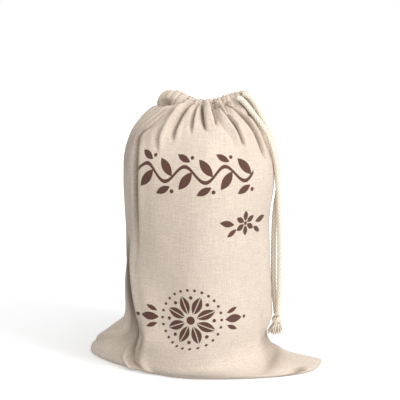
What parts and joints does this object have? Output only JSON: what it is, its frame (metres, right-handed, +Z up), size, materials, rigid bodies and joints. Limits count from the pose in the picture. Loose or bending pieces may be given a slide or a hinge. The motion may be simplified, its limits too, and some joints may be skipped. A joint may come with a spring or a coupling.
{
  "type": "linen bread bag",
  "caption": "Soft linen drawstring bag for keeping bread, shown filled and standing with its mouth gathered and its knotted cord hanging.",
  "frame": {"origin": "under the middle of the bag, on the surface it stands on", "axes": "+Z up, +X towards the bag's right, where the cord hangs, and the printed front faces -Y"},
  "size_m": [0.254, 0.16, 0.2903],
  "materials": {
    "linen": "matt plain weave of flecked natural linen and cotton",
    "cotton_cord": "matt cream cotton, twisted cord"
  },
  "bodies": {
    "root": {"bag": "linen", "cord_tail_front": "cotton_cord", "cord_tail_back": "cotton_cord", "cord_knot": "cotton_cord", "cord_tuft": "cotton_cord"}
  },
  "joints": []
}
